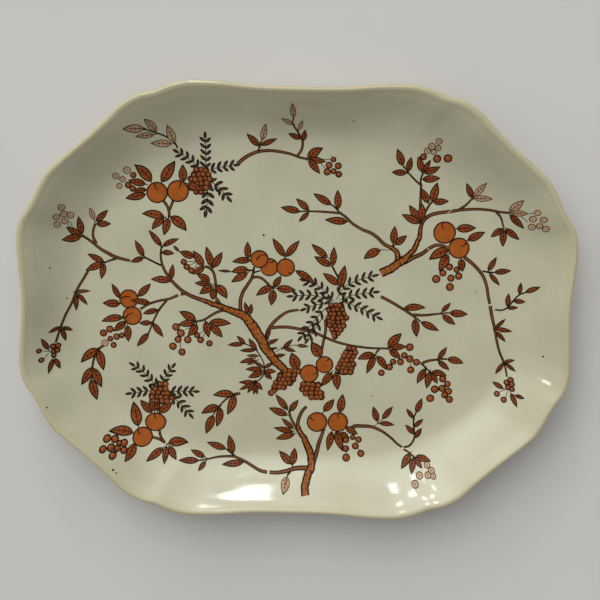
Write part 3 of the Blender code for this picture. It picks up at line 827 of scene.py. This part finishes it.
         (79.5, 53, 67, 58.7, 2.6), (80.5, 55, 80, 66.5, 2.6), (84.3, 66, 79, 76, 2.5),
         (86.5, 67, 89.5, 80, 2.9), (87, 67, 97.5, 67.8, 2.3), (66.8, 89.8, 62.7, 101, 2.6),
         (70, 86, 72, 96, 2.2), (69.5, 85.5, 59.5, 85.7, 2.2), (79.5, 86, 76.3, 96.5, 2.4),
         (80, 86, 84.5, 94.5, 1.8), (80, 86, 91, 90.3, 2.4, -0.9), (79.5, 81.5, 91.5, 82.5, 2.5),
         (112.5, 70, 108, 80, 2.1), (136.5, 60.5, 146, 51.5, 2.2), (133, 51, 125.5, 44.8, 2.2),
         (133.5, 50.5, 133.8, 38.5, 2.4), (134.5, 51, 144, 43.8, 2.2), (125, 22.5, 130.3, 32, 2),
         (129, 21.7, 140.5, 23.2, 2), (126, 21, 133.3, 12.8, 1.7)),
        (pale_leaf, (113, 70.5, 120.8, 80.8, 2.2), (113, 70, 125.5, 70, 2.2), (136, 62, 144, 70.8, 2.6),
         (137, 61.5, 147.5, 62, 2.2)),
        (fruit, (95.5, 47.3, 7.4, ((94, 54.2), (93.6, 51.6), (95, 49.5))),
         (105.3, 37.3, 7, ((110.5, 41.6), (108.4, 39), (106, 38.5)))),
        (berry, (99.7, 24.7, 2.4), (95.6, 20.6, 2.4), (104.5, 23, 2.2), (106, 18.8, 2.5),
         (101, 17.3, 2.5), (91.4, 16.5, 2.8), (100.6, 11.4, 2.7), (79.6, 96, 2.3), (88.4, 95, 2.7),
         (95.2, 95.5, 2.8)),
        (pale_berry, (81.8, 100, 2.2), (84.5, 103, 2.4), (88.6, 106.4, 2.2), (88.5, 102, 2),
         (86, 99.3, 2), (152.3, 63.2, 2.1), (150.2, 58.7, 2.3), (156.2, 59, 2.2), (150.2, 53.3, 2.3),
         (154.5, 54.5, 2.1), (158.2, 53, 2.2)),
    ],
    "hanging_twig": [
        (stem,
         (2.0, 1.2, (127.7, -0.7), (129.3, -8), (131.5, -16), (133.5, -25), (136, -33), (138.5, -38)),
         (0.9, 0.8, (138.5, -38), (140, -43), (141, -48)),
         (0.8, 0.7, (131, -3.2), (136, -3.3), (139, -1.5), (141, 1), (143.5, 4.5), (146, 7.5),
          (150, 9.7))),
        (twig, (140, -56, 136.5, -58.5), (141.5, -57, 140.5, -61.5)),
        (leaf, (139, -1, 139.3, 8.3, 1.8), (139, -2, 146, -1, 1.4), (142.5, 3, 150.3, 3.3, 1.7),
         (146, 8, 146.7, 16, 1.5), (149.5, 9.5, 158.3, 14.7, 1.7), (131.5, -16, 138.5, -9, 1.4),
         (131.5, -16, 143.3, -17.5, 1.7), (132.5, -18, 139.3, -24.8, 1.5),
         (138.5, -38.5, 145.8, -36.3, 1.3), (138.5, -39, 133.3, -47, 1.6),
         (139.5, -39, 146.5, -44.2, 1.4), (139, -56, 131.5, -52, 1.7), (143.5, -58, 147.2, -66.5, 1.7),
         (146, -59, 151.8, -60, 1.4)),
        (berry, (143.3, -49.8, 2.1), (140.8, -51.7, 2), (144, -52.5, 2), (141.8, -54.7, 2),
         (144.3, -55.5, 1.7), (134.9, -59.8, 2), (139.2, -63, 2)),
    ],
    "lower_left": [
        (stem, (1.6, 1.4, (-95, -95), (-90, -96.5), (-86, -99)),
         (1.6, 1.4, (-90, -91), (-89, -95), (-86, -99))),
        (fern, (5.2, 1.0, 4.3, (-90, -61), (-96, -56), (-103, -48.8), (-106, -47)),
         (5.0, 1.0, 4.0, (-89, -62), (-86.5, -54.5), (-82, -48)),
         (5.2, 1.05, 4.2, (-90, -63.5), (-99, -64), (-108, -65.5)),
         (5.2, 1.05, 4.2, (-85, -64), (-78, -63.5), (-68, -63.5)),
         (5.4, 1.05, 4.3, (-83, -66.5), (-76, -72), (-70.5, -78.5))),
        (leaf, (-104, -88, -107.5, -71, 3.8), (-107, -92, -123, -89.5, 3.2, -1.3),
         (-106, -98, -111.5, -108.5, 3.2, 1.1), (-95, -79, -103, -70, 2.8),
         (-93.5, -78, -96.5, -68.5, 2.3), (-91.5, -78, -91.5, -67, 2.2), (-90.5, -79, -81, -71, 2.8),
         (-83.5, -101, -78, -110, 2.4), (-85, -101, -86, -112.5, 2.2), (-87, -102, -98, -110, 2.6),
         (-84, -99.5, -70.2, -99, 3.3, 1.3)),
        (bunch,
         (1.8, 3.2, (-89.4, -59, 2), (-92.6, -62, 3), (-94, -65, 4), (-95, -68, 5), (-91.6, -70.8, 3))),
        (fruit, (-100.8, -94.5, 6.7, ((-104.2, -89.6), (-103.6, -92), (-102, -93)), 0.95),
         (-92.5, -85, 7.2, ((-93, -79.2), (-93.4, -81.4), (-92, -83)), 0.88)),
        (berry, (-123.3, -93.5, 2.6), (-118.4, -94.3, 2.5), (-112.5, -97.3, 2.5), (-115.5, -97, 1.9),
         (-125.3, -99.3, 2.4), (-120.5, -99, 2.5), (-116.5, -100, 2.3), (-112.3, -101.5, 2.3),
         (-119, -103.7, 2.5)),
    ],
    "lower_branch": [
        (stem, (1.0, 0.7, (-39, -107.5), (-42, -105.5), (-45, -103)),
         (1.8, 1.5, (-17, -117), (-22, -116), (-28, -113), (-34, -110), (-40, -107.8)),
         (1.5, 0.7, (-40, -107.8), (-50, -108.2), (-58, -109.8), (-64, -110.5))),
        (leaf, (-40.5, -106.5, -43.3, -93, 2.7), (-45, -103, -58.3, -98.5, 2.4),
         (-33, -111.5, -48, -113, 2.3), (-59, -108.5, -69, -103.5, 2.1), (-63, -110.5, -77, -110, 2.2),
         (-58.5, -111, -63.5, -117, 1.8)),
    ],
    "lower_tree": [
        (stem, (3.0, 1.9, (13.5, -112), (16, -104), (17.5, -97), (19.5, -91), (20.5, -87)),
         (3.0, 1.8, (12, -114), (6, -114), (2, -114.3), (-4, -116), (-10, -117), (-15.5, -117)),
         (2.0, 1.1, (3, -89), (0.5, -85), (-2, -80), (-3, -76)),
         (2.4, 1.8, (3.5, -90), (2.8, -85), (4, -79), (6, -75), (8.5, -72)),
         (2.6, 1.6, (38, -88), (40.5, -85.5), (46, -85), (53, -85.5), (60, -88.5)),
         (1.6, 1.2, (60, -88.5), (66, -93), (71, -97.5), (73.5, -99)),
         (1.0, 0.9, (-3.5, -118.5), (-1, -116)),
         (4.8, 2.8, (10.3, -101), (7, -94), (4.5, -90), (3, -86)),
         (5.2, 4.8, (9, -129), (8.5, -124), (10, -119), (12.5, -113), (12.5, -108), (10, -100))),
        (twig, (36, -103, 36, -105), (43.5, -100.5, 45, -102), (54, -85, 57, -82.5),
         (57, -82.5, 59.5, -80)),
        (pale_leaf, (-3.5, -119, -6, -129, 3)),
        (leaf, (-4, -75, -12.5, -64, 2.3), (-3, -76, 3, -67.5, 2.2), (-4, -78.5, -17, -73.5, 2.6),
         (0, -88, -8.3, -80.5, 1.8), (0, -90, -13.5, -87.5, 2.2), (1, -91.5, -12, -95.5, 2.4),
         (-1, -112, -9.5, -103.5, 2.6), (0, -112.5, 1.3, -101, 2.6), (20, -75.5, 27, -66.5, 2.7),
         (31, -76, 32.5, -62.8, 2.9), (26, -89, 23.3, -103, 2.6), (28.5, -89, 33.5, -103, 2.8),
         (35, -86, 43.5, -91, 2.4), (31, -90, 38, -94, 2.4), (56.5, -82, 53, -71, 2.3),
         (59.5, -80, 66.3, -70.8, 2.1), (57.5, -83, 68, -84, 1.8, 0.6)),
        (fruit, (15.8, -82.8, 7, ((11, -79.4), (12.4, -81), (14, -81.5))),
         (29.8, -82.5, 6.9, ((30, -75.8), (29.6, -78), (30.5, -80)))),
        (berry, (35.5, -95, 2.3), (40, -93, 2), (44, -94.5, 2.3), (35.5, -101, 2.4), (42, -99, 2.4),
         (36, -107, 2.7), (45.8, -104, 2.5)),
    ],
    "lower_right": [
        (stem, (1.2, 1.0, (74.5, -99), (78, -98), (80.5, -95), (81.7, -91.5)),
         (0.9, 0.7, (81.7, -91.5), (81, -86), (80.5, -80), (81, -77), (82, -74.5)),
         (1.1, 0.9, (74.5, -100.5), (77, -101.5), (81, -104.5), (82.5, -105.5))),
        (leaf, (82, -75, 85.5, -64.5, 2.2), (80.5, -79, 75.3, -72, 1.6), (80.8, -85, 87, -79, 1.7),
         (81.5, -90, 75, -83.3, 1.8), (81.7, -92.5, 86.2, -85.3, 1.9), (79, -102.5, 72.8, -112.8, 2.5),
         (81, -105, 79.7, -115.3, 2.3), (82, -105, 92.8, -106.7, 2.3, 0.8),
         (82, -105.5, 87, -111.5, 1.8)),
        (pale_berry, (90, -109, 2.2), (92.8, -112, 2.3), (85, -115.5, 2.4), (90.5, -114.8, 2.2),
         (94, -115, 2), (82, -120.5, 2.5)),
    ],
}

# The print's half thickness, the step of its grid, and the distance within which points are one.
HALF_PRINT = 0.05
GRID_STEP = 1.6
SAME_PLACE = 0.0005


def shapes_of(groups):
    """Every (polygon, ink) of a spray in painting order."""
    return [shape for draw, *rows in groups for row in rows for shape in draw(*row)]


def curved_grid(shapes):
    """Extra points where the face curves, so that the print follows it."""
    everything = np.vstack([outline for outline, _ in shapes])
    low, high = everything.min(axis=0), everything.max(axis=0)
    steps = [np.arange(low[i], high[i], GRID_STEP) for i in range(2)]
    x, y = [grid.ravel() for grid in np.meshgrid(*steps)]
    keep = wall_share(x, y) > FLAT_END
    return np.column_stack([x[keep], y[keep]])


def turns_round(outline, points):
    """How many times the outline goes round each point."""
    x, y = points[:, 0, None], points[:, 1, None]
    (x0, y0), (x1, y1) = outline.T, np.roll(outline, -1, axis=0).T
    side = (x1 - x0) * (y - y0) - (x - x0) * (y1 - y0)
    rising = (y0 <= y) & (y1 > y) & (side > 0)
    falling = (y0 > y) & (y1 <= y) & (side < 0)
    return rising.sum(axis=1) - falling.sum(axis=1)


def flat_partition(shapes):
    """Points and triangles of the painted shapes, and each triangle's ink, that of the top shape."""
    points = np.vstack([outline for outline, _ in shapes] + [curved_grid(shapes)])
    edges = []
    first = 0
    for outline, _ in shapes:
        loop = list(range(first, first + len(outline)))
        edges += zip(loop, loop[1:] + loop[:1])
        first += len(outline)
    found = delaunay_2d_cdt([Vector(point) for point in points], edges, [], 0, SAME_PLACE, False)
    places = np.array([tuple(place) for place in found[0]])
    triangles = np.array(found[2])
    middles = places[triangles].mean(axis=1)
    painted = np.full(len(triangles), -1)
    names = list(INK_COLOURS)
    for outline, ink in shapes:
        low, high = outline.min(axis=0), outline.max(axis=0)
        near = np.flatnonzero(np.all((middles > low) & (middles < high), axis=1))
        inside = near[turns_round(outline, middles[near]) != 0]
        painted[inside] = names.index(ink) if ink else -1
    return places, triangles[painted >= 0], painted[painted >= 0].tolist()


def face_normals(x, y):
    """Normals of the glazed face over these places."""
    step = 0.2
    slope_x = (face_level(x + step, y) - face_level(x - step, y)) / (2 * step)
    slope_y = (face_level(x, y + step) - face_level(x, y - step)) / (2 * step)
    normals = np.column_stack([-slope_x, -slope_y, np.ones(len(x))])
    return normals / np.linalg.norm(normals, axis=1)[:, None]


def open_edges(triangles):
    """(from, to, triangle) of every edge that only one triangle has."""
    sides = [triangles[:, [0, 1]], triangles[:, [1, 2]], triangles[:, [2, 0]]]
    edges = np.concatenate(sides).tolist()
    seen = {tuple(edge) for edge in edges}
    count = len(triangles)
    return [(a, b, i % count) for i, (a, b) in enumerate(edges) if (b, a) not in seen]


def draped_print(name, shapes):
    """The shapes as a thin closed layer that lies on the face."""
    places, triangles, inks = flat_partition(shapes)
    used, index = np.unique(triangles, return_inverse=True)
    triangles = index.reshape(-1, 3)
    x, y = places[used].T
    corners = places[used][triangles]
    facing = np.cross(corners[:, 1] - corners[:, 0], corners[:, 2] - corners[:, 0])
    triangles[facing < 0] = triangles[facing < 0][:, ::-1]
    level = face_level(x, y)
    normals = face_normals(x, y)
    surface = np.column_stack([x, y, level])
    top = surface + normals * HALF_PRINT
    bottom = surface - normals * HALF_PRINT
    count = len(used)
    edges = open_edges(triangles)
    walls = [[b, a, a + count, b + count] for a, b, _ in edges]
    wall_inks = [inks[owner] for _, _, owner in edges]
    faces = triangles.tolist() + (triangles[:, ::-1] + count).tolist() + walls
    mesh = bpy.data.meshes.new(name)
    mesh.from_pydata((np.vstack([top, bottom]) * MM).tolist(), [], faces)
    mesh.polygons.foreach_set("material_index", inks + inks + wall_inks)
    mesh.shade_smooth()
    custom = []
    for polygon in mesh.polygons:
        upper = polygon.index < len(triangles)
        for corner in polygon.vertices:
            custom.append(tuple(normals[corner]) if upper else (0.0, 0.0, 0.0))
    mesh.normals_split_custom_set(custom)
    return add_object(name, mesh)


# ---------------------------------------------------------------------------------------------
# Materials.


class Nodes:
    """A material's node tree, with short ways to add and join nodes."""

    def __init__(self, name):
        self.material = bpy.data.materials.new(name)
        self.material.use_nodes = True
        self.tree = self.material.node_tree
        self.shader = self.tree.nodes["Principled BSDF"]

    def add(self, kind, values=None, **settings):
        node = self.tree.nodes.new(kind)
        for name, value in settings.items():
            setattr(node, name, value)
        for name, value in (values or {}).items():
            self.put(node, name, value)
        return node

    def put(self, node, name, value):
        if isinstance(value, bpy.types.NodeSocket):
            self.tree.links.new(value, node.inputs[name])
        else:
            node.inputs[name].default_value = value

    def shade(self, values):
        """Sets or joins the shader's own sockets."""
        for name, value in values.items():
            self.put(self.shader, name, value)

    def noise(self, size, detail=3.0, roughness=0.5):
        """Noise with features of about this size in millimetres."""
        place = self.add("ShaderNodeNewGeometry").outputs["Position"]
        values = {"Vector": place, "Scale": 1.0 / (size * MM), "Detail": detail, "Roughness": roughness}
        return self.add("ShaderNodeTexNoise", values).outputs["Fac"]

    def ramp(self, factor, *stops):
        """A colour or value for each place of the factor."""
        node = self.add("ShaderNodeValToRGB", {"Fac": factor})
        elements = node.color_ramp.elements
        while len(elements) < len(stops):
            elements.new(0.5)
        for element, (place, value) in zip(elements, stops):
            element.position = place
            element.color = value if isinstance(value, tuple) else (value, value, value, 1.0)
        return node.outputs["Color"]

    def mix(self, factor, first, second, blend="MIX"):
        node = self.add("ShaderNodeMix", data_type="RGBA", blend_type=blend)
        colours = [socket for socket in node.inputs if socket.type == "RGBA"]
        for socket, value in zip([node.inputs[0]] + colours, (factor, first, second)):
            if isinstance(value, bpy.types.NodeSocket):
                self.tree.links.new(value, socket)
            else:
                socket.default_value = value
        return [socket for socket in node.outputs if socket.type == "RGBA"][0]

    def bump(self, height, distance, strength, under=None):
        """A bump of this height in millimetres, over another one if given."""
        values = {"Height": height, "Distance": distance * MM, "Strength": strength}
        if under:
            values["Normal"] = under
        return self.add("ShaderNodeBump", values).outputs["Normal"]


def colour(red, green, blue):
    return (red, green, blue, 1.0)


def glaze_material():
    """Glossy cream glaze: faint mottling, a warmer tint where it pools at the lip, fine iron specks."""
    nodes = Nodes("cream_glaze")
    cloud = nodes.ramp(
        nodes.noise(38.0, 2.0),
        (0.3, colour(0.555, 0.535, 0.381)),
        (0.7, colour(0.625, 0.607, 0.440)),
    )
    share = nodes.add("ShaderNodeAttribute", attribute_name="wall_share").outputs["Fac"]
    lip = nodes.ramp(share, (0.84, 0.0), (0.95, 0.55), (0.999, 1.0))
    tinted = nodes.mix(lip, cloud, colour(0.55, 0.49, 0.28))
    fine = nodes.ramp(nodes.noise(1.4, 2.0), (0.35, 0.965), (0.65, 1.0))
    graded = nodes.mix(1.0, tinted, fine, "MULTIPLY")
    place = nodes.add("ShaderNodeNewGeometry").outputs["Position"]
    cells = nodes.add("ShaderNodeTexVoronoi", {"Vector": place, "Scale": 1.0 / (9.0 * MM)})
    dot = nodes.ramp(cells.outputs["Distance"], (0.028, 1.0), (0.042, 0.0))
    chance = nodes.ramp(cells.outputs["Color"], (0.52, 0.0), (0.56, 0.75))
    speck = nodes.mix(1.0, dot, chance, "MULTIPLY")
    ripple = nodes.bump(nodes.noise(14.0, 1.0), 0.16, 0.35)
    nodes.shade({
        "Base Color": nodes.mix(speck, graded, colour(0.16, 0.11, 0.06)),
        "Roughness": nodes.ramp(nodes.noise(24.0, 3.0), (0.3, 0.085), (0.7, 0.14)),
        "IOR": 1.52,
        "Coat Weight": 0.35,
        "Coat Roughness": 0.05,
        "Normal": nodes.bump(nodes.noise(2.6, 2.0), 0.02, 0.3, ripple),
    })
    return nodes.material


def clay_material():
    """Unglazed fired clay: matt, sandy and a little stained."""
    nodes = Nodes("fired_clay")
    base = nodes.ramp(
        nodes.noise(7.0, 5.0),
        (0.3, colour(0.47, 0.37, 0.24)),
        (0.6, colour(0.60, 0.51, 0.36)),
        (0.8, colour(0.66, 0.59, 0.45)),
    )
    grit = nodes.ramp(nodes.noise(0.6, 2.0), (0.3, 0.72), (0.6, 1.0))
    nodes.shade({
        "Base Color": nodes.mix(1.0, base, grit, "MULTIPLY"),
        "Roughness": nodes.ramp(nodes.noise(2.0), (0.3, 0.72), (0.7, 0.95)),
        "Normal": nodes.bump(nodes.noise(0.5, 3.0), 0.12, 0.8),
    })
    return nodes.material


def ink_material(name, dark, light):
    """Printed colour under the gloss of the glaze, laid down a little unevenly."""
    nodes = Nodes("print_" + name)
    cloud = nodes.ramp(nodes.noise(5.0, 3.0), (0.32, colour(*dark)), (0.68, colour(*light)))
    stipple = nodes.ramp(nodes.noise(0.55, 2.0), (0.3, 0.86), (0.62, 1.05))
    nodes.shade({
        "Base Color": nodes.mix(1.0, cloud, stipple, "MULTIPLY"),
        "Roughness": nodes.ramp(nodes.noise(9.0), (0.3, 0.12), (0.7, 0.22)),
        "IOR": 1.2,
        "Normal": nodes.bump(nodes.noise(1.5, 2.0), 0.015, 0.4),
    })
    return nodes.material


def floor_material():
    nodes = Nodes("studio_floor")
    cloud = nodes.ramp(
        nodes.noise(90.0, 2.0),
        (0.3, colour(0.70, 0.69, 0.67)),
        (0.7, colour(0.72, 0.71, 0.69)),
    )
    nodes.shade({"Base Color": cloud, "Roughness": 0.7})
    return nodes.material


# ---------------------------------------------------------------------------------------------
# Iron specks.

# The larger dark grains caught in the glaze: (place, radius). The glaze's material has fine ones.
SPECKS = [
    (-159.5, 20, 0.5), (-150, -1, 0.5), (-160.5, -70, 0.5), (-22, 43, 0.7), (162, -31, 0.6),
    (7, 13, 0.4), (34, 118, 0.5), (81, 96, 0.4), (-118, -112, 0.7), (-116, -114, 0.5),
    (118, 8, 0.4), (52, -64, 0.35),
]


def iron_specks(material):
    shapes = [(disc(x, y, radius, 12), "ink") for x, y, radius in SPECKS]
    finish_piece(draped_print("iron_specks", shapes), [], [material])


# ---------------------------------------------------------------------------------------------
# Studio: floor, lights and camera.

FLOOR_HALF_SIZE = 30.0

# The broad bright side of the surroundings: its direction in degrees, its strength and how narrow
# it is, and the strength of the light from everywhere else.
KEY_AZIMUTH = 115.0
KEY_ELEVATION = 44.0
KEY_STRENGTH = 2.75
KEY_FOCUS = 7.0
AMBIENT = 0.24
WORLD_TINT = (1.0, 0.995, 0.98, 1.0)

# Small soft lights, which the glaze mirrors as windows: (azimuth, elevation, width, height, power).
STRIPS = {
    "strip_left": (97.0, 22.5, 0.27, 0.24, 3.0),
    "strip_middle": (101.5, 39.5, 0.18, 0.16, 1.0),
    "strip_right": (113.5, 34.0, 0.11, 0.13, 0.5),
    "strip_side": (175.0, 27.0, 0.18, 0.08, 0.7),
}
STRIP_DISTANCE = 1.9
STRIP_TINT = (1.0, 0.995, 0.985)

LENS = 72.0
SENSOR = 36.0
CAMERA_PLACE = (0.00249, 0.15848, 0.78130)
CAMERA_TURN = Matrix((
    (0.999759, -0.021957, -0.000061),
    (0.021525, 0.979508, 0.200249),
    (-0.004337, -0.200202, 0.979745),
))


def studio_floor(material):
    low, _ = CAD_BOUNDS
    mesh = bpy.data.meshes.new("studio_floor")
    build = bmesh.new()
    bmesh.ops.create_grid(build, x_segments=8, y_segments=8, size=FLOOR_HALF_SIZE)
    build.to_mesh(mesh)
    build.free()
    mesh.materials.append(material)
    floor = add_object("studio_floor", mesh)
    floor.location = (0.0, 0.0, low.z)


def soft_light(name, azimuth, elevation, width, height, power):
    """A soft rectangular light that faces the platter from this direction, in degrees."""
    data = bpy.data.lights.new(name, "AREA")
    data.shape = "RECTANGLE"
    data.size = width
    data.size_y = height
    data.energy = power
    data.color = STRIP_TINT
    light = add_object(name, data)
    away = toward(azimuth, elevation)
    light.location = away * STRIP_DISTANCE
    light.rotation_euler = away.to_track_quat("Z", "Y").to_euler()


def toward(azimuth, elevation):
    """The direction at these angles, in degrees from +X towards +Y and up from level."""
    turn, rise = np.radians(azimuth), np.radians(elevation)
    return Vector((np.cos(rise) * np.cos(turn), np.cos(rise) * np.sin(turn), np.sin(rise)))


def studio_world():
    """Soft light from all round, with a broad brighter side and no edges to mirror in the glaze."""
    world = bpy.data.worlds.new("soft_studio")
    world.use_nodes = True
    tree = world.node_tree
    background = tree.nodes["Background"]
    background.inputs["Color"].default_value = WORLD_TINT
    facing = tree.nodes.new("ShaderNodeVectorMath")
    facing.operation = "DOT_PRODUCT"
    facing.inputs[1].default_value = toward(KEY_AZIMUTH, KEY_ELEVATION)
    tree.links.new(tree.nodes.new("ShaderNodeTexCoord").outputs["Generated"], facing.inputs[0])
    source = facing.outputs["Value"]
    steps = {"MAXIMUM": 0.0, "POWER": KEY_FOCUS, "MULTIPLY": KEY_STRENGTH, "ADD": AMBIENT}
    for operation, value in steps.items():
        step = tree.nodes.new("ShaderNodeMath")
        step.operation = operation
        step.inputs[1].default_value = value
        tree.links.new(source, step.inputs[0])
        source = step.outputs["Value"]
    tree.links.new(source, background.inputs["Strength"])
    bpy.context.scene.world = world


def camera():
    """Looks down at the face from a little above its far long side, as in the photograph."""
    data = bpy.data.cameras.new("camera")
    data.lens = LENS
    data.sensor_width = SENSOR
    data.clip_start = 0.01
    view = add_object("camera", data)
    view.matrix_world = Matrix.Translation(CAMERA_PLACE) @ CAMERA_TURN.to_4x4()
    bpy.context.scene.camera = view


def main():
    glaze = glaze_material()
    glazed_face(glaze)
    glazed_back(glaze)
    glazed_recess(glaze)
    clay_body(clay_material())
    inks = [ink_material(name, *colours) for name, colours in INK_COLOURS.items()]
    for name, groups in SPRAYS.items():
        layer = draped_print("print_" + name, shapes_of(groups))
        finish_piece(layer, ["transfer_" + name], inks)
    iron_specks(inks[0])
    studio_floor(floor_material())
    studio_world()
    for name, light in STRIPS.items():
        soft_light(name, *light)
    camera()
    bpy.context.scene.view_settings.view_transform = "Standard"


main()
